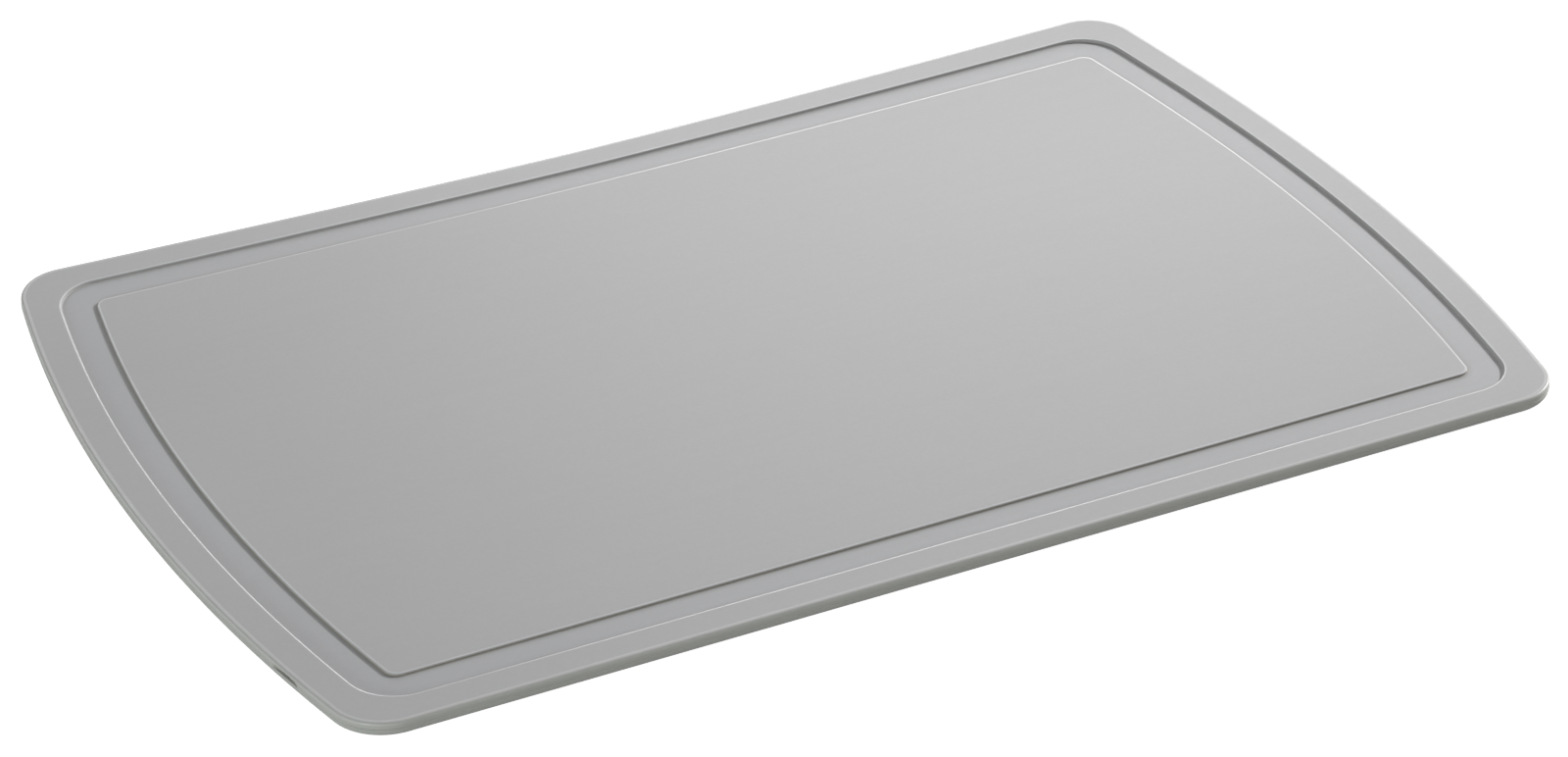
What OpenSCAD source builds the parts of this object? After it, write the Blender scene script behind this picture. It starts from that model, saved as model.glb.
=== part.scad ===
// Flexible kitchen cutting mat with bowed ends, a juice groove and a soft grip layer underneath.
// Both layers are one profile carried round the outline, then bent where the back corners curl up.
// The origin is on the table under the middle of the mat, the front long edge is at -Y.

/* [Outline] */
// Length over the two bowed ends
mat_length = 381; // [300:1:480]
// Width over the two straight long edges
mat_width = 254; // [200:1:340]
// How far the middle of each end stands out past its corners
end_bow = 13.5; // [5:0.5:25]
// Radius of the four corners, seen from above
corner_r = 15.5; // [10:0.5:30]

/* [Layers] */
// Thickness of the firm cutting layer at its rim
cutting_layer_t = 2; // [1.7:0.1:4]
// Thickness of the soft grip layer
grip_layer_t = 2; // [1.6:0.1:4]
// Rounding of the rim's outer top edge
top_edge_r = 1; // [0.4:0.1:1.3]
// Rounding of the grip layer's lower edge
bottom_edge_r = 1.2; // [0.4:0.1:1.3]
// Edge break on each layer where the two meet, which shows as a fine seam line
seam_break = 0.25; // [0.1:0.05:0.35]

/* [Rim, groove and field] */
// Width of the rim between the outer edge and the groove
rim_w = 10.2; // [6:0.1:18]
// Width of the juice groove
groove_w = 9.9; // [5:0.1:16]
// Depth of the groove's floor below the rim
groove_depth = 0.95; // [0.8:0.05:1.2]
// How far the cutting field lies below the rim
field_drop = 0.25; // [0:0.05:0.4]
// Corner radius of the groove's outer wall, seen from above
groove_corner_r = 14; // [6:0.5:24]
// Corner radius of the cutting field, seen from above
field_corner_r = 4; // [2:0.5:15]
// Rounding of the rim's and the field's edges over the groove
groove_lip_r = 0.35; // [0.1:0.05:0.38]
// Rounding where the groove's walls meet its floor
groove_floor_r = 0.2; // [0.1:0.05:0.3]

/* [Curl] */
// How high the two back corners have curled up off the table, 0 for a flat mat
corner_lift = 3.9; // [0:0.1:10]
// How much of the width lies flat, measured from the front edge
flat_depth = 125; // [60:5:150]

/* [Gate recess] */
// Length of the trimmed moulding gate's recess in the left end
gate_length = 12; // [4:0.5:20]
// Height of the recess above the seam
gate_height = 1; // [0.5:0.1:1.1]
// Depth of the recess into the edge
gate_depth = 0.8; // [0.3:0.1:1.5]
// Distance of the recess from the front edge
gate_from_front = 35; // [30:1:120]

/* [Hidden] */

// Steps round one quarter of the outline: along the bowed end, the corner and the long edge
end_steps = 7;
corner_steps = 7;
side_steps = 8;
quarter_steps = end_steps + corner_steps + side_steps;
ring_points = 4 * quarter_steps;
// Steps in each small rounding of the profile
lip_steps = 3;
edge_steps = 4;
// Sizes of the inner rings that carry the curl across the flat faces
inner_scales = [0.2, 0.4, 0.6, 0.8];
// The curl rises with these powers of the way to the end and of the way to the back edge
curl_power_x = 1.5;
curl_power_y = 3;
// How far the recess's cutter runs past what it cuts
overcut = 1;

half_l = mat_length / 2;
half_w = mat_width / 2;
// Circle of the bowed end, through both corners and the end's middle
end_r = (half_w * half_w + end_bow * end_bow) / (2 * end_bow);
end_centre_x = half_l - end_r;

seam_z = grip_layer_t;
rim_z = grip_layer_t + cutting_layer_t;
field_z = rim_z - field_drop;
floor_z = rim_z - groove_depth;
field_inset = rim_w + groove_w;
flat_y = flat_depth - half_w;

// Height that the curl adds at a point of the mat
function curl(p) =
    p.y <= flat_y ? 0 :
    corner_lift * pow(abs(p.x) / half_l, curl_power_x)
        * pow((p.y - flat_y) / (half_w - flat_y), curl_power_y);

function lifted(p, z) = [p.x, p.y, z + curl(p)];

// Centre of the corner's circle on an outline drawn in by inset, with corner radius r
function corner_centre(inset, r) =
    let (y = half_w - inset - r)
    [end_centre_x + sqrt(pow(end_r - inset - r, 2) - y * y), y];

// Point i of the first quarter of an outline, from the middle of the end to the middle of the side
function quarter_point(inset, r, i) =
    let (c = corner_centre(inset, r))
    let (turn = atan2(c.y, c.x - end_centre_x))
    i <= end_steps
        ? let (a = turn * i / end_steps)
          [end_centre_x + (end_r - inset) * cos(a), (end_r - inset) * sin(a)]
    : i <= end_steps + corner_steps
        ? let (a = turn + (90 - turn) * (i - end_steps) / corner_steps)
          c + r * [cos(a), sin(a)]
    : [c.x * (quarter_steps - i) / side_steps, half_w - inset];

// The whole outline, anticlockwise from the middle of the right end
function outline(inset, r) = [
    for (k = [0 : ring_points - 1])
        let (quarter = floor(k / quarter_steps))
        let (i = k % quarter_steps)
        let (p = quarter_point(inset, r, quarter % 2 == 0 ? i : quarter_steps - i))
        [quarter == 0 || quarter == 3 ? p.x : -p.x, quarter < 2 ? p.y : -p.y]
];

// A wall is [inset, corner radius], and a step on it is [offset inwards, height]
outer_wall = [0, corner_r];
groove_wall = [rim_w, groove_corner_r];
field_wall = [field_inset, field_corner_r];

function ring(wall, step) = [
    for (p = outline(wall[0] + step[0], wall[1] - step[0])) lifted(p, step[1])
];
function rings(wall, steps) = [for (s = steps) ring(wall, s)];

// Rings that shrink a flat face to its middle, smallest first
function inner_rings(wall, step) = [
    for (s = inner_scales) [
        for (p = outline(wall[0] + step[0], wall[1] - step[0])) lifted(s * p, step[1])
    ]
];

function reversed(list) = [for (i = [len(list) - 1 : -1 : 0]) list[i]];

// Steps of a rounding with its centre at [offset, height], from one angle to another
function rounding(centre, r, from, to, steps) = [
    for (i = [0 : steps])
        let (a = from + (to - from) * i / steps)
        centre + r * [cos(a), sin(a)]
];

// Closed skin over a list of rings, from one middle point to the other.
// Wound with rising rings going outwards; a falling list is turned over.
module skin(rings, first_z, last_z, falling = false) {
    n = ring_points;
    count = len(rings);
    middle = [0, 0];
    points = concat([for (r = rings) each r], [lifted(middle, first_z), lifted(middle, last_z)]);
    walls = [
        for (j = [0 : count - 2], k = [0 : n - 1])
            let (a = j * n + k, b = j * n + (k + 1) % n, c = a + n, d = b + n)
            each [[a, d, b], [a, c, d]]
    ];
    first_fan = [for (k = [0 : n - 1]) [count * n, k, (k + 1) % n]];
    last_fan = [for (k = [0 : n - 1]) [count * n + 1, (count - 1) * n + (k + 1) % n, (count - 1) * n + k]];
    faces = concat(walls, first_fan, last_fan);
    polyhedron(points, falling ? [for (f = faces) reversed(f)] : faces, convexity = 6);
}

// The face that both layers share, at the foot of their edge breaks
seam_step = [seam_break, seam_z];
seam_face = concat(inner_rings(outer_wall, seam_step), [ring(outer_wall, seam_step)]);

// Recess that the trimmed gate leaves in the left end, cut by a large flat disc above the seam
module gate_cutter() {
    disc_r = (gate_length * gate_length / 4 + gate_depth * gate_depth) / (2 * gate_depth);
    bearing = asin((half_w - gate_from_front) / end_r);
    reach = end_r - gate_depth + disc_r;
    translate([-end_centre_x - reach * cos(bearing), -reach * sin(bearing), seam_z - overcut])
        cylinder(h = gate_height + overcut, r = disc_r, $fn = 96);
}

// Firm upper layer: rim, juice groove and cutting field in one moulding
module cutting_layer() {
    outer_edge = concat(
        [[0, seam_z + seam_break]],
        rounding([top_edge_r, rim_z - top_edge_r], top_edge_r, 180, 90, edge_steps)
    );
    groove_outer = concat(
        rounding([-groove_lip_r, rim_z - groove_lip_r], groove_lip_r, 90, 0, lip_steps),
        rounding([groove_floor_r, floor_z + groove_floor_r], groove_floor_r, 180, 270, lip_steps)
    );
    groove_inner = concat(
        rounding([-groove_floor_r, floor_z + groove_floor_r], groove_floor_r, 270, 360, lip_steps),
        rounding([groove_lip_r, field_z - groove_lip_r], groove_lip_r, 180, 90, lip_steps)
    );
    field = reversed(inner_rings(field_wall, [groove_lip_r, field_z]));
    color([0.66, 0.66, 0.67])
        difference() {
            skin(
                concat(
                    seam_face,
                    rings(outer_wall, outer_edge),
                    rings(groove_wall, groove_outer),
                    rings(field_wall, groove_inner),
                    field
                ),
                seam_z, field_z
            );
            gate_cutter();
        }
}

// Soft lower layer that holds the mat to the worktop
module grip_layer() {
    outer_edge = concat(
        [[0, seam_z - seam_break]],
        rounding([bottom_edge_r, bottom_edge_r], bottom_edge_r, 180, 270, edge_steps)
    );
    underside = reversed(inner_rings(outer_wall, [bottom_edge_r, 0]));
    color([0.55, 0.55, 0.54])
        skin(
            concat(seam_face, rings(outer_wall, outer_edge), underside),
            seam_z, 0,
            falling = true
        );
}

cutting_layer();
grip_layer();
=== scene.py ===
import math

import bpy
from mathutils import Matrix, Vector


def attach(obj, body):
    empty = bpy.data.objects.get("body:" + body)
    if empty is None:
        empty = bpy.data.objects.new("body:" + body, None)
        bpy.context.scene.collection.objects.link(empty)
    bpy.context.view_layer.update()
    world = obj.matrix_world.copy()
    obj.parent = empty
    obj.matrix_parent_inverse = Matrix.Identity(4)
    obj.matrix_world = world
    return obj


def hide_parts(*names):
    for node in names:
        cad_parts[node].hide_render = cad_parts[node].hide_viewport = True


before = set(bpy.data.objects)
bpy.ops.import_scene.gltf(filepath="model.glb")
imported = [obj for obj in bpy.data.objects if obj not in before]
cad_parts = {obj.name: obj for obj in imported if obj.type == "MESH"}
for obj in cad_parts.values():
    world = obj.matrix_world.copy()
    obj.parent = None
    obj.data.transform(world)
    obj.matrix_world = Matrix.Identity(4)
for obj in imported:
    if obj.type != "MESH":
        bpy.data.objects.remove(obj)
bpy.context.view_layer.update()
mm = 0.001
print("frame loaded:", sorted(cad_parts))

# the camera stands in front of the mat and a little to its left
cameraView = {
    "turn": -26.131,      # degrees round the mat from straight in front
    "height": 30.363,     # degrees above the table
    "roll": -1.045,
    "distance": 1476.46,  # mm
    "across": 2.95,       # mm that the camera is slid to its right
    "up": -7.96,
    "lens": 121.73,
    "sensorWidth": 36,
}


def aimCamera(view):
    turn, height, roll = (math.radians(view[k]) for k in ("turn", "height", "roll"))
    away = math.cos(height)
    back = Vector((math.sin(turn) * away, -math.cos(turn) * away, math.sin(height)))
    right = Vector((0, 0, 1)).cross(back).normalized()
    above = back.cross(right)
    sideways = right * math.cos(roll) + above * math.sin(roll)
    upwards = above * math.cos(roll) - right * math.sin(roll)
    spot = (sideways * view["across"] + upwards * view["up"] + back * view["distance"]) * mm
    data = bpy.data.cameras.new("photoCamera")
    data.sensor_fit = "HORIZONTAL"
    data.sensor_width = view["sensorWidth"]
    data.lens = view["lens"]
    data.clip_start = 0.01
    camera = bpy.data.objects.new("photoCamera", data)
    bpy.context.scene.collection.objects.link(camera)
    facing = Matrix((sideways, upwards, back)).transposed().to_4x4()
    camera.matrix_world = Matrix.Translation(spot) @ facing
    bpy.context.scene.camera = camera


aimCamera(cameraView)
print("camera placed")

# outline and curl that both layers share, in mm
matShape = {
    "length": 381.0,
    "width": 254.0,
    "endBow": 13.5,        # how far the middle of an end stands out past its corners
    "cornerRadius": 15.5,
    "seamHeight": 2.0,
    "thickness": 4.0,
    "cornerLift": 3.9,     # curl of the two back corners
    "flatDepth": 125.0,    # what lies flat, from the front edge
    "curlPowers": (1.5, 3),  # how fast the curl rises towards an end and towards the back
}
halfLength = matShape["length"] / 2
halfWidth = matShape["width"] / 2
endRadius = (halfWidth ** 2 + matShape["endBow"] ** 2) / (2 * matShape["endBow"])
endCentre = halfLength - endRadius

# recess where the moulding gate was trimmed off the left end
gateRecess = {
    "length": 12.0,
    "height": 1.0,
    "depth": 0.8,
    "fromFront": 35.0,
    "paintedShade": 0.45,        # how far its tone goes to the painted shade colour, which darkens the recess as shade
    "shallow": 0.05,       # less deep than this it keeps the wall's tone
}
gateBearing = math.asin((halfWidth - gateRecess["fromFront"]) / endRadius)


def curlHeight(x, y):
    flatY = matShape["flatDepth"] - halfWidth
    if y <= flatY:
        return 0.0
    powerX, powerY = matShape["curlPowers"]
    outwards = (abs(x) / halfLength) ** powerX
    backwards = ((y - flatY) / (halfWidth - flatY)) ** powerY
    return matShape["cornerLift"] * outwards * backwards


# steps along one quarter of the outline, and along the gate recess
stepCounts = {"end": 34, "corner": 22, "side": 36, "gate": 40}


def quarterSteps(fine):
    # (stretch, share of it) from the middle of an end to the middle of a long edge
    shares = {name: [i / count for i in range(count + 1)] for name, count in stepCounts.items()}
    if fine:  # closer together along the gate recess and a little past its tips
        overrun, clearance = 1.25, 0.004
        radius = matShape["cornerRadius"]
        corner = math.asin((halfWidth - radius) / (endRadius - radius))
        middle = gateBearing / corner
        reach = overrun * gateRecess["length"] / 2 / (endRadius * corner)
        close = [middle - reach + 2 * reach * share for share in shares["gate"]]
        apart = [s for s in shares["end"] if abs(s - middle) > reach + clearance]
        shares["end"] = sorted(apart + close)
    steps = [("end", s) for s in shares["end"]]
    for stretch in ("corner", "side"):
        steps += [(stretch, s) for s in shares[stretch][1:]]
    return steps


def outlineColumns():
    # once round the mat, anticlockwise from the middle of the right end
    columns = []
    for quarter, (signX, signY) in enumerate(((1, 1), (-1, 1), (-1, -1), (1, -1))):
        steps = quarterSteps(fine=quarter == 2)
        if quarter % 2:
            steps = steps[::-1]
        columns += [(signX, signY, stretch, share) for stretch, share in steps[:-1]]
    return columns


matColumns = outlineColumns()


def outlinePoint(column, inset, radius):
    signX, signY, stretch, share = column
    centreY = halfWidth - inset - radius
    centreX = endCentre + math.sqrt((endRadius - inset - radius) ** 2 - centreY ** 2)
    turn = math.atan2(centreY, centreX - endCentre)
    if stretch == "end":
        x = endCentre + (endRadius - inset) * math.cos(turn * share)
        y = (endRadius - inset) * math.sin(turn * share)
    elif stretch == "corner":
        angle = turn + (math.pi / 2 - turn) * share
        x = centreX + radius * math.cos(angle)
        y = centreY + radius * math.sin(angle)
    else:
        x = centreX * (1 - share)
        y = halfWidth - inset
    return signX * x, signY * y


def gateCut(column):
    # depth of the recess at this column of the wall, in mm
    signX, signY, stretch, share = column
    if (signX, signY, stretch) != (-1, -1, "end"):
        return 0.0
    x, y = outlinePoint(column, 0, matShape["cornerRadius"])
    along = (math.asin(-y / endRadius) - gateBearing) * endRadius
    return max(0.0, gateRecess["depth"] * (1 - (2 * along / gateRecess["length"]) ** 2))


# a row is one line of the edge's section carried once round the mat: the wall it belongs to,
# its offset inwards and height, the masks that the materials read (lip for the lips' painted
# highlight and polish, trough and side for the painted shade tints of the groove and the walls, and
# the painted shade at the walls' feet), and how far it shrinks to the middle, follows the gate
# recess or bulges out at the corners
def row(wall, offset, z, lip=0.0, trough=0.0, side=0.0, paintedShade=0.0, scale=1.0, gate=0.0, flash=0.0):
    return dict(inset=wall[0] + offset, radius=wall[1] - offset, z=z,
                lip=lip, trough=trough, side=side, paintedShade=paintedShade,
                scale=scale, gate=gate, flash=flash)


def blend(ends, share):
    return ends[0] + (ends[1] - ends[0]) * share


def arc(centre, radius, start, end, steps):
    angles = [math.radians(blend((start, end), i / steps)) for i in range(steps + 1)]
    return [(centre[0] + radius * math.cos(a), centre[1] + radius * math.sin(a)) for a in angles]


def lipCurve(lip):
    # (distance from the wall, drop) from the flat face over a gently falling crown to the wall
    crown, tilt, radius = lip
    crownSteps, turnSteps = 8, 6
    tilt = math.radians(tilt)
    start, fall = radius * (1 - math.sin(tilt)), crown * math.tan(tilt) / 2
    curve = []
    for i in range(crownSteps):
        share = i / crownSteps
        curve.append((start + crown * (1 - share), fall * share ** 2))
    for i in range(turnSteps + 1):
        angle = blend((tilt, math.pi / 2), i / turnSteps)
        drop = fall + radius * (math.cos(tilt) - math.cos(angle))
        curve.append((radius * (1 - math.sin(angle)), drop))
    return curve


def crestMask(share):
    # strongest midway over a lip's crown, gone where the lip starts to turn steep
    lead, reach = 0.12, 0.75
    return max(0.0, math.sin(math.pi * min(1.0, (share + lead) / reach)))


def sheetMesh(name, rows, rising):
    cuts = [gateCut(c) for c in matColumns]
    bends = [math.sin(math.pi * share) if stretch == "corner" else 0.0
             for _, _, stretch, share in matColumns]
    points, masks = [], {"lip": [], "trough": [], "side": [], "paintedShade": []}
    # inside the gate recess the tone takes the walls' tint and the painted shade
    recessMasks = {"lip": 0.0, "trough": 0.0, "side": 1.0, "paintedShade": gateRecess["paintedShade"]}
    for r in rows:
        for column, cut, bend in zip(matColumns, cuts, bends):
            extra = cut * r["gate"] - bend * r["flash"]
            x, y = outlinePoint(column, r["inset"] + extra, r["radius"] - extra)
            x, y = x * r["scale"], y * r["scale"]
            points.append((x * mm, y * mm, (r["z"] + curlHeight(x, y)) * mm))
            inRecess = extra > gateRecess["shallow"]
            for key in masks:
                masks[key].append(max(r[key], recessMasks[key] if inRecess else 0.0))
    for r in (rows[0], rows[-1]):  # middle points of the first and last face
        points.append((0, 0, r["z"] * mm))
        for key in masks:
            masks[key].append(r[key])
    n, last = len(matColumns), len(rows) - 1
    faces = []
    for j in range(last):
        for k in range(n):
            a, b = j * n + k, j * n + (k + 1) % n
            faces.append((a, b, b + n, a + n))
    faces += [(len(points) - 2, (k + 1) % n, k) for k in range(n)]
    faces += [(len(points) - 1, last * n + k, last * n + (k + 1) % n) for k in range(n)]
    if not rising:
        faces = [f[::-1] for f in faces]
    mesh = bpy.data.meshes.new(name)
    mesh.from_pydata(points, [], faces)
    for key, values in masks.items():
        mesh.attributes.new(key, "FLOAT", "POINT").data.foreach_set("value", values)
    mesh.polygons.foreach_set("use_smooth", [True] * len(mesh.polygons))
    mesh.update()
    sheet = bpy.data.objects.new(name, mesh)
    bpy.context.scene.collection.objects.link(sheet)
    return sheet


# steps in the rounding at the foot of a wall
footSteps = 5

# copies of one row at other sizes, which carry the curl across a flat face
flatInset = 1.5        # mm in from the outline
seamScales = (0.1, 0.3, 0.5, 0.7, 0.9, 1.0)
faceScales = (0.8, 0.7, 0.6, 0.5, 0.4, 0.3, 0.2, 0.1)


def flatRows(wall, offset, z, scales):
    return [row(wall, offset, z, scale=s) for s in scales]


# upper layer: rim, juice groove and cutting field
cuttingSheet = {
    "wallSetBack": 0.03,           # behind the grip layer's edge, which leaves a small ledge
    "seamRound": 0.07,
    "edgeRound": (0.9, 12, 0.6),   # outer top edge: crown's width, tilt in degrees, rounding
    "lipHighlightAndPolish": (0.3, 0.65),       # painted highlight and polish on the rounding and on the crown
    "rimWidth": 10.2,
    "grooveWidth": 10.1,
    "grooveDepth": 0.95,
    "fieldDrop": 0.25,
    "grooveCorner": 14.0,
    "fieldCorner": 4.0,
    "rimLip": (0.36, 17, 0.24),    # the same three over the groove
    "fieldLip": (0.5, 17, 0.2),
    "rimFoot": 0.35,               # roundings between the walls and the groove's floor
    "fieldFoot": 0.18,
    # share of the painted shade colour on the floor beside a wall, at its foot and on the wall: a
    # darker, browner tone standing in for the groove's shadow
    "rimPaintedShade": (0.05, 0.2, 0.4),
    "fieldPaintedShade": (0.2, 0.5, 1.0),
    "colour": (0.350, 0.346, 0.352),
    # a little bluer than the face: painted tint of the groove's shade
    "grooveColour": (0.346, 0.346, 0.354),
    # a little warmer than the face: painted tint of the walls' shade
    "edgeColour": (0.350, 0.347, 0.330),
    # painted shade: a darker, browner tone at the walls' feet and in the gate recess, in place of
    # their shadow
    "paintedShadeColour": (0.218, 0.196, 0.158),
    "mottle": {"Patch_Size": 0.07, "Patches": 0.02, "Streaks": 0.006, "Speckle": 0.012},
    "grain": {"Grain_Size": 0.0006, "Roughness": 0.5, "Gloss_Change": 0.06},
    # the lips' painted highlight, a lighter colour, and their polish, less roughness
    "highlightAndPolish": {"Highlight": 0.5, "Polish": 0.36},
    "index": 1.5,
    "specular": 0.3,
    "bump": (0.25, 0.02),          # strength, depth in mm
}


def buildCuttingSheet(s):
    seam, top = matShape["seamHeight"], matShape["thickness"]
    outer = (0.0, matShape["cornerRadius"])
    groove = (s["rimWidth"], s["grooveCorner"])
    field = (s["rimWidth"] + s["grooveWidth"], s["fieldCorner"])
    floorZ, fieldZ = top - s["grooveDepth"], top - s["fieldDrop"]
    recessTop = seam + gateRecess["height"]

    # shared face, seam and outer wall, with close rows where the gate recess ends. Every gap is
    # the mm from a rounding to a row that keeps the face beside it flat
    rows = flatRows(outer, flatInset, seam, seamScales)
    back, small = s["wallSetBack"], s["seamRound"]
    for offset, z in arc((back + small, seam + small), small, 270, 180, 4):
        rows.append(row(outer, offset, z, side=1, gate=1))
    for z in (seam + 0.3, seam + 0.6, recessTop - 0.14, recessTop - 0.06):
        rows.append(row(outer, back, z, side=1, gate=1))
    rows.append(row(outer, back, recessTop - 0.02, side=1, gate=0.75))
    rows.append(row(outer, back, recessTop - 0.004, side=1, gate=0.25))
    curve = lipCurve(s["edgeRound"])[::-1]
    last = len(curve) - 1  # the same for all three lips
    for i, (offset, drop) in enumerate(curve):
        down = 1 - i / last
        rows.append(row(outer, back + offset, top - drop, side=down,
                        lip=blend(s["lipHighlightAndPolish"], crestMask(down))))
    edge = back + curve[-1][0]
    for gap in (0.12, 1.2):
        rows.append(row(outer, edge + gap, top))

    # the rim's lip over the groove, its wall and the groove's floor
    foot, curve = s["rimFoot"], lipCurve(s["rimLip"])
    # painted shade darkens the rim's wall, its foot and the floor beside it
    floorShade, footShade, wallShade = s["rimPaintedShade"]
    lip = curve[0][0]
    for gap in (0.9, 0.1):
        rows.append(row(groove, -lip - gap, top))
    for i, (offset, drop) in enumerate(curve):
        down = i / last
        rows.append(row(groove, -offset, top - drop, lip=crestMask(down), trough=down / 2))
    for i, (offset, z) in enumerate(arc((foot, floorZ + foot), foot, 180, 270, footSteps)):
        down = i / footSteps
        rows.append(row(groove, offset, z, trough=blend((0.5, 1), down),
                        paintedShade=blend((wallShade, footShade), down)))
    for gap, paintedShade in ((0.5, floorShade), (1.4, 0.0)):
        rows.append(row(groove, foot + gap, floorZ, trough=1, paintedShade=paintedShade))

    # up the field's wall and over its lip
    foot, curve = s["fieldFoot"], lipCurve(s["fieldLip"])[::-1]
    # painted shade darkens the field's wall, its foot and the floor beside it
    floorShade, footShade, wallShade = s["fieldPaintedShade"]
    lip = curve[-1][0]
    for gap, paintedShade in ((1.8, 0.0), (0.5, floorShade)):
        rows.append(row(field, -foot - gap, floorZ, trough=1, paintedShade=paintedShade))
    for i, (offset, z) in enumerate(arc((-foot, floorZ + foot), foot, 270, 360, footSteps)):
        up = i / footSteps
        rows.append(row(field, offset, z, trough=blend((1, 0.5), up),
                        paintedShade=blend((footShade, wallShade), up)))
    for i, (offset, drop) in enumerate(curve):
        down = 1 - i / last
        rows.append(row(field, offset, fieldZ - drop, lip=crestMask(down), trough=down / 2))
    rows.append(row(field, lip + 0.1, fieldZ))
    rows += flatRows(field, lip + 1.2, fieldZ, (1.0, 0.98, 0.94, 0.88) + faceScales)
    return sheetMesh("cuttingSheet", rows, rising=True)


# lower layer: soft sheet that holds the mat to the worktop
gripSheet = {
    "topRound": 0.1,
    "flash": 0.12,                 # thin lip of moulding flash round the corners, under the seam
    # painted highlight and polish on the flash
    "flashHighlightAndPolish": 0.5,
    "bottomRound": 1.2,
    "colour": (0.300, 0.298, 0.285),
    "edgeColour": (0.330, 0.329, 0.314),
    "mottle": {"Patch_Size": 0.05, "Patches": 0.03, "Streaks": 0.0, "Speckle": 0.03},
    "grain": {"Grain_Size": 0.0009, "Roughness": 0.62, "Gloss_Change": 0.08},
    # the flash's painted highlight, a lighter colour, and its polish
    "highlightAndPolish": {"Highlight": 0.15, "Polish": 0.1},
    "index": 1.48,
    "bump": (0.5, 0.05),
}


def buildGripSheet(s):
    seam = matShape["seamHeight"]
    outer = (0.0, matShape["cornerRadius"])
    small, flash = s["topRound"], s["flash"]
    rows = flatRows(outer, flatInset, seam, seamScales)
    for offset, z in arc((small, seam - small), small, 90, 180, 5):
        rows.append(row(outer, offset, z, side=1, lip=s["flashHighlightAndPolish"], flash=flash))
    rows.append(row(outer, 0, seam - 0.2, side=1, lip=s["flashHighlightAndPolish"], flash=flash))
    rows.append(row(outer, 0, seam - 0.28, side=1, flash=flash * 0.6))
    rows.append(row(outer, 0, seam - 0.33, side=1))
    rows.append(row(outer, 0, seam - 0.5, side=1))
    large, roundSteps = s["bottomRound"], 10
    for i, (offset, z) in enumerate(arc((large, large), large, 180, 270, roundSteps)):
        rows.append(row(outer, offset, z, side=1 - i / roundSteps))
    rows.append(row(outer, large + 0.4, 0))
    rows += flatRows(outer, large + flatInset, 0, (1.0, 0.97, 0.93, 0.87) + faceScales)
    return sheetMesh("gripSheet", rows, rising=False)


cuttingPiece = buildCuttingSheet(cuttingSheet)
gripPiece = buildGripSheet(gripSheet)
print("layers built:", [len(piece.data.polygons) for piece in (cuttingPiece, gripPiece)], "faces")


def newGroup(name, inputs, outputs):
    group = bpy.data.node_groups.new(name, "ShaderNodeTree")
    for label, kind, value in inputs:
        socket = group.interface.new_socket(label, in_out="INPUT", socket_type="NodeSocket" + kind)
        socket.default_value = value
    for label, kind in outputs:
        group.interface.new_socket(label, in_out="OUTPUT", socket_type="NodeSocket" + kind)
    return group, group.nodes.new("NodeGroupInput"), group.nodes.new("NodeGroupOutput")


def addNode(tree, kind, **settings):
    node = tree.nodes.new(kind)
    for key, value in settings.items():
        setattr(node, key, value)
    return node


def setInput(tree, socket, value):
    # value is a number, a colour or another node's output
    if isinstance(value, (int, float)):
        socket.default_value = value
    elif isinstance(value, tuple):
        socket.default_value = (*value, 1)
    else:
        tree.links.new(value, socket)


def addMath(tree, operation, a, b, clamp=False):
    node = addNode(tree, "ShaderNodeMath", operation=operation, use_clamp=clamp)
    setInput(tree, node.inputs[0], a)
    setInput(tree, node.inputs[1], b)
    return node.outputs[0]


def addMix(tree, factor, a, b):
    # inputs 6 and 7 and output 2 are the colour ones
    node = addNode(tree, "ShaderNodeMix", data_type="RGBA")
    setInput(tree, node.inputs["Factor"], factor)
    setInput(tree, node.inputs[6], a)
    setInput(tree, node.inputs[7], b)
    return node.outputs[2]


def addNoise(tree, place, scale, detail):
    node = addNode(tree, "ShaderNodeTexNoise")
    tree.links.new(place, node.inputs["Vector"])
    setInput(tree, node.inputs["Scale"], scale)
    node.inputs["Detail"].default_value = detail
    return node.outputs[0]


def makeSoftMottle():
    # wide cloudy patches and faint slanting flow streaks, as moulded plastic has
    group, given, out = newGroup(
        "softMottle",
        [("Colour", "Color", (0.5, 0.5, 0.5, 1)), ("Patch Size", "Float", 0.06),
         ("Patches", "Float", 0.03), ("Streaks", "Float", 0.015), ("Speckle", "Float", 0.02)],
        [("Colour", "Color"), ("Cloud", "Float")],
    )
    link = group.links.new
    place = addNode(group, "ShaderNodeTexCoord").outputs["Object"]
    slant, streakScale, speckleScale = math.radians(-52), (16, 260, 60), 900  # scales are per metre
    cloud = addNoise(group, place, addMath(group, "DIVIDE", 1.0, given.outputs["Patch Size"]), 3)
    turned = addNode(group, "ShaderNodeMapping")
    turned.inputs["Rotation"].default_value = (0, 0, slant)
    turned.inputs["Scale"].default_value = streakScale
    link(place, turned.inputs["Vector"])
    streak = addNoise(group, turned.outputs[0], 1, 2)
    speckle = addNoise(group, place, speckleScale, 2)
    level, spread = 1.0, 4.0  # noise keeps close to its middle, so its swing is spread out
    for texture, amount in ((cloud, "Patches"), (streak, "Streaks"), (speckle, "Speckle")):
        swing = addMath(group, "SUBTRACT", texture, 0.5)
        swing = addMath(group, "MULTIPLY", swing, given.outputs[amount])
        level = addMath(group, "ADD", level, addMath(group, "MULTIPLY", swing, spread))
    tone = addNode(group, "ShaderNodeVectorMath", operation="SCALE")
    link(given.outputs["Colour"], tone.inputs[0])
    link(level, tone.inputs["Scale"])
    link(tone.outputs[0], out.inputs["Colour"])
    link(cloud, out.inputs["Cloud"])
    return group


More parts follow.
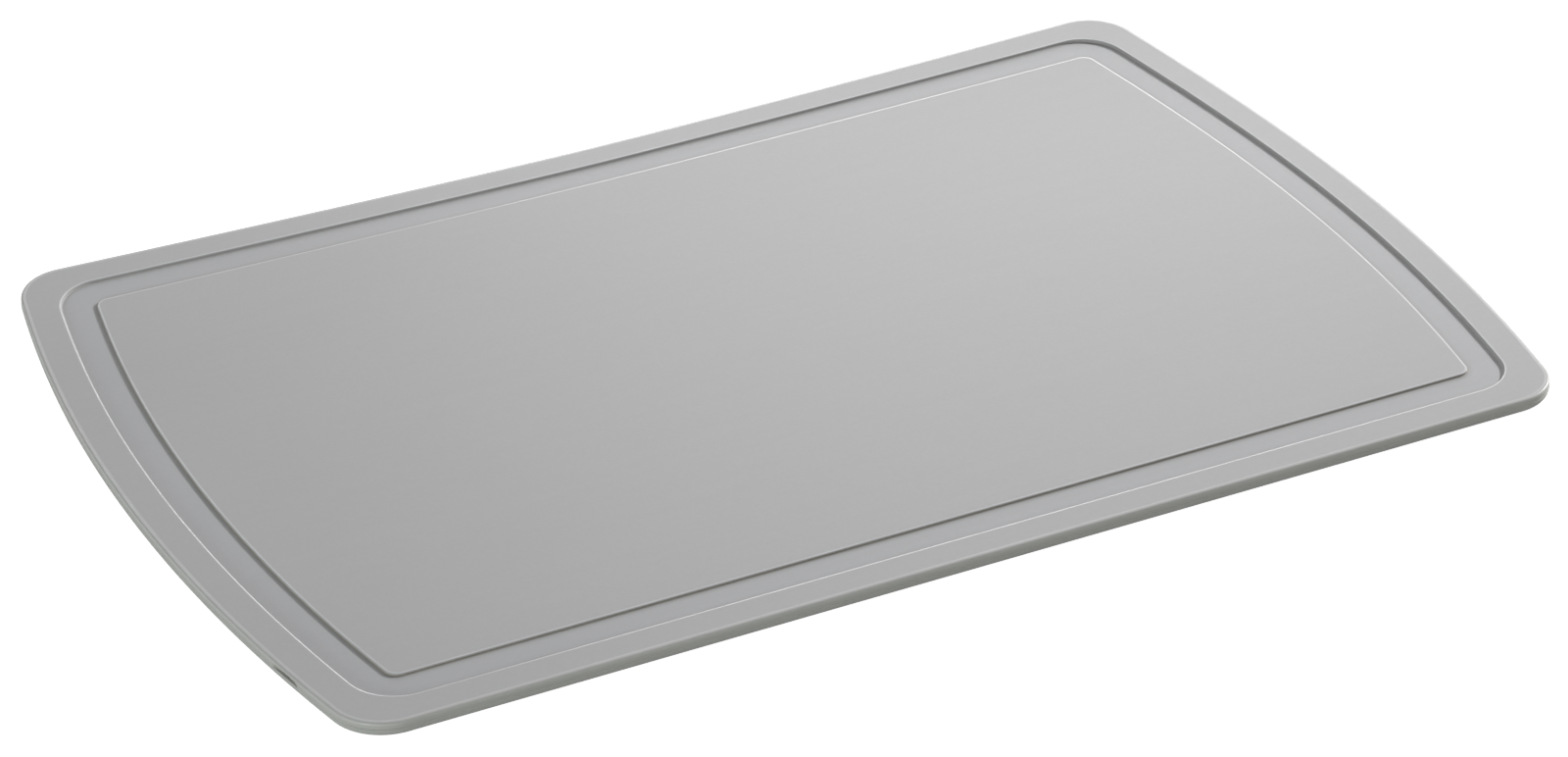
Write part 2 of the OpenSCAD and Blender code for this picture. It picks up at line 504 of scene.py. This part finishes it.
def makeSatinGrain():
    # fine spark-eroded mould texture: height for the bump and small changes of gloss
    group, given, out = newGroup(
        "satinGrain",
        [("Grain Size", "Float", 0.0005), ("Roughness", "Float", 0.5),
         ("Gloss Change", "Float", 0.05), ("Cloud", "Float", 0.5)],
        [("Height", "Float"), ("Roughness", "Float")],
    )
    link = group.links.new
    place = addNode(group, "ShaderNodeTexCoord").outputs["Object"]
    scale = addMath(group, "DIVIDE", 1.0, given.outputs["Grain Size"])
    cellScale, fineShare, cellShare = 0.6, 0.7, 0.3
    fine = addNoise(group, place, scale, 3)
    cells = addNode(group, "ShaderNodeTexVoronoi", feature="SMOOTH_F1")
    link(place, cells.inputs["Vector"])
    link(addMath(group, "MULTIPLY", scale, cellScale), cells.inputs["Scale"])
    height = addMath(group, "ADD", addMath(group, "MULTIPLY", fine, fineShare),
                     addMath(group, "MULTIPLY", cells.outputs["Distance"], cellShare))
    link(height, out.inputs["Height"])
    swing = addMath(group, "ADD", addMath(group, "SUBTRACT", fine, 0.5),
                    addMath(group, "SUBTRACT", given.outputs["Cloud"], 0.5))
    rough = addMath(group, "ADD", given.outputs["Roughness"],
                    addMath(group, "MULTIPLY", swing, given.outputs["Gloss Change"]), clamp=True)
    link(rough, out.inputs["Roughness"])
    return group


def makeLipHighlightAndPolish():
    # a painted highlight lightens the lips' crowns, in patches, and they are a little smoother
    # there
    group, given, out = newGroup(
        "lipHighlightAndPolish",
        [("Colour", "Color", (0.5, 0.5, 0.5, 1)), ("Roughness", "Float", 0.5),
         ("Edge", "Float", 0.0), ("Highlight", "Float", 0.1), ("Polish", "Float", 0.1)],
        [("Colour", "Color"), ("Roughness", "Float")],
    )
    link = group.links.new
    place = addNode(group, "ShaderNodeTexCoord").outputs["Object"]
    patchScale, least, spread = 120, 0.6, 0.8
    patchy = addNoise(group, place, patchScale, 3)
    patches = addMath(group, "ADD", least, addMath(group, "MULTIPLY", patchy, spread))
    highlitAndPolished = addMath(group, "MULTIPLY", given.outputs["Edge"], patches, clamp=True)
    tone = addNode(group, "ShaderNodeVectorMath", operation="SCALE")
    link(given.outputs["Colour"], tone.inputs[0])
    # the painted highlight
    paintedHighlight = addMath(group, "MULTIPLY", highlitAndPolished, given.outputs["Highlight"])
    link(addMath(group, "ADD", 1.0, paintedHighlight), tone.inputs["Scale"])
    link(tone.outputs[0], out.inputs["Colour"])
    rough = addMath(group, "SUBTRACT", given.outputs["Roughness"],
                    addMath(group, "MULTIPLY", highlitAndPolished, given.outputs["Polish"]), clamp=True)
    link(rough, out.inputs["Roughness"])
    return group


softMottle = makeSoftMottle()
satinGrain = makeSatinGrain()
lipHighlightAndPolish = makeLipHighlightAndPolish()


def placeGroup(tree, group, **values):
    node = addNode(tree, "ShaderNodeGroup", node_tree=group)
    for key, value in values.items():
        setInput(tree, node.inputs[key.replace("_", " ")], value)
    return node.outputs


def addMask(tree, name):
    return addNode(tree, "ShaderNodeAttribute", attribute_name=name).outputs["Fac"]


def startMaterial(name):
    material = bpy.data.materials.new(name)
    material.use_nodes = True
    tree = material.node_tree
    return material, tree, tree.nodes["Principled BSDF"]


def finishSurface(tree, shader, tone, s):
    # mottling, grain, and the lips' painted highlight and polish over a plain tone, the same way
    # for both layers
    mottled = placeGroup(tree, softMottle, Colour=tone, **s["mottle"])
    grain = placeGroup(tree, satinGrain, Cloud=mottled["Cloud"], **s["grain"])
    highlitAndPolished = placeGroup(tree, lipHighlightAndPolish, Colour=mottled["Colour"], Roughness=grain["Roughness"],
                      Edge=addMask(tree, "lip"), **s["highlightAndPolish"])
    tree.links.new(highlitAndPolished["Colour"], shader.inputs["Base Color"])
    tree.links.new(highlitAndPolished["Roughness"], shader.inputs["Roughness"])
    shader.inputs["IOR"].default_value = s["index"]
    strength, depth = s["bump"]
    bump = addNode(tree, "ShaderNodeBump")
    bump.inputs["Strength"].default_value = strength
    bump.inputs["Distance"].default_value = depth * mm
    tree.links.new(grain["Height"], bump.inputs["Height"])
    tree.links.new(bump.outputs[0], shader.inputs["Normal"])


def makeCuttingPlastic(s):
    material, tree, shader = startMaterial("cuttingPlastic")
    # painted shade tints: cooler over the groove, warmer on the walls
    tone = addMix(tree, addMask(tree, "trough"), s["colour"], s["grooveColour"])
    tone = addMix(tree, addMask(tree, "side"), tone, s["edgeColour"])
    # painted shade: darker and browner at the walls' feet and in the gate recess
    tone = addMix(tree, addMask(tree, "paintedShade"), tone, s["paintedShadeColour"])
    finishSurface(tree, shader, tone, s)
    shader.inputs["Specular IOR Level"].default_value = s["specular"]
    return material


def makeGripRubber(s):
    material, tree, shader = startMaterial("gripRubber")
    tone = addMix(tree, addMask(tree, "side"), s["colour"], s["edgeColour"])
    finishSurface(tree, shader, tone, s)
    return material


cuttingPiece.data.materials.append(makeCuttingPlastic(cuttingSheet))
gripPiece.data.materials.append(makeGripRubber(gripSheet))
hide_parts("cutting_layer")
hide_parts("grip_layer")
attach(cuttingPiece, "root")
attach(gripPiece, "root")
print("layers finished")

# white table and room. The small low lamp on the right casts the crisp shadows in the groove,
# the left one fills them, the front ones reach the near walls, and the lamps behind draw the
# light lines along the lips
studio = {
    "floorSize": 8.0,              # m
    "floorGap": 0.05,              # mm under the mat, so that the two surfaces never coincide
    "floorColour": (0.46, 0.457, 0.442),
    "floorGlow": 0.94,             # only what the camera and reflections see
    "roomLevel": 0.03,
    "roomColour": (0.97, 0.985, 1.0),
    # level (the levels add up to about 1, which shows a colour as it is written), degrees from
    # straight behind the mat towards its right, degrees above the table, distance, width and
    # height in m, colour
    "lamps": {
        "rightSoftbox": (0.575, 81, 23.5, 1.75, 0.15, 0.15, (1.0, 1.0, 1.0)),
        "leftSoftbox": (0.13, -66, 42, 1.5, 0.8, 0.8, (0.98, 0.99, 1.0)),
        "frontStrip": (0.076, -123, 8, 1.5, 0.4, 0.3, (0.93, 1.0, 0.98)),
        "frontFill": (0.015, 176, 8, 1.5, 0.4, 0.3, (1.0, 0.98, 0.92)),
        "backSoftbox": (0.102, 29, 28, 0.9, 0.4, 0.4, (1.0, 1.0, 1.0)),
        "backFill": (0.040, -8, 38, 1.5, 0.5, 0.5, (1.0, 1.0, 1.0)),
        "backStrip": (0.034, 37, 11, 1.5, 0.9, 0.4, (1.0, 1.0, 1.0)),
    },
}


def showsWhite(tree):
    # 1 for rays that show the background to the camera or in a reflection
    path = addNode(tree, "ShaderNodeLightPath")
    seen = addMath(tree, "MAXIMUM", path.outputs["Is Camera Ray"], path.outputs["Is Glossy Ray"])
    return addMath(tree, "MAXIMUM", seen, path.outputs["Is Transmission Ray"])


def makeFloor(s):
    half, z = s["floorSize"] / 2, -s["floorGap"] * mm
    mesh = bpy.data.meshes.new("table")
    corners = [(x * half, y * half, z) for x, y in ((-1, -1), (1, -1), (1, 1), (-1, 1))]
    mesh.from_pydata(corners, [], [(0, 1, 2, 3)])
    table = bpy.data.objects.new("table", mesh)
    bpy.context.scene.collection.objects.link(table)
    material, tree, shader = startMaterial("tableWhite")
    shader.inputs["Base Color"].default_value = (*s["floorColour"], 1)
    shader.inputs["Roughness"].default_value = 0.9
    shader.inputs["Specular IOR Level"].default_value = 0.0
    shader.inputs["Emission Color"].default_value = (1, 1, 1, 1)
    glow = addMath(tree, "MULTIPLY", showsWhite(tree), s["floorGlow"])
    tree.links.new(glow, shader.inputs["Emission Strength"])
    mesh.materials.append(material)


def makeRoom(s):
    world = bpy.data.worlds.new("room")
    world.use_nodes = True
    tree = world.node_tree
    light = tree.nodes["Background"]
    light.inputs["Color"].default_value = (*s["roomColour"], 1)
    light.inputs["Strength"].default_value = s["roomLevel"]
    white = addNode(tree, "ShaderNodeBackground")
    white.inputs["Color"].default_value = (1, 1, 1, 1)
    white.inputs["Strength"].default_value = 1
    mix = addNode(tree, "ShaderNodeMixShader")
    tree.links.new(showsWhite(tree), mix.inputs[0])
    tree.links.new(light.outputs[0], mix.inputs[1])
    tree.links.new(white.outputs[0], mix.inputs[2])
    tree.links.new(mix.outputs[0], tree.nodes["World Output"].inputs["Surface"])
    bpy.context.scene.world = world


def addSoftbox(name, level, turn, height, distance, width, tall, colour):
    turn, height = math.radians(turn), math.radians(height)
    away = math.cos(height)
    spot = Vector((math.sin(turn) * away, math.cos(turn) * away, math.sin(height))) * distance
    data = bpy.data.lights.new(name, "AREA")
    data.shape = "RECTANGLE"
    data.size, data.size_y = width, tall
    data.color = colour
    data.energy = level * (math.pi * distance) ** 2 / math.sin(height)
    lamp = bpy.data.objects.new(name, data)
    bpy.context.scene.collection.objects.link(lamp)
    lamp.location = spot
    lamp.rotation_euler = spot.to_track_quat("Z", "Y").to_euler()


makeFloor(studio)
makeRoom(studio)
for lampName, settings in studio["lamps"].items():
    addSoftbox(lampName, *settings)
bpy.context.scene.view_settings.view_transform = "Standard"
print("studio lit")
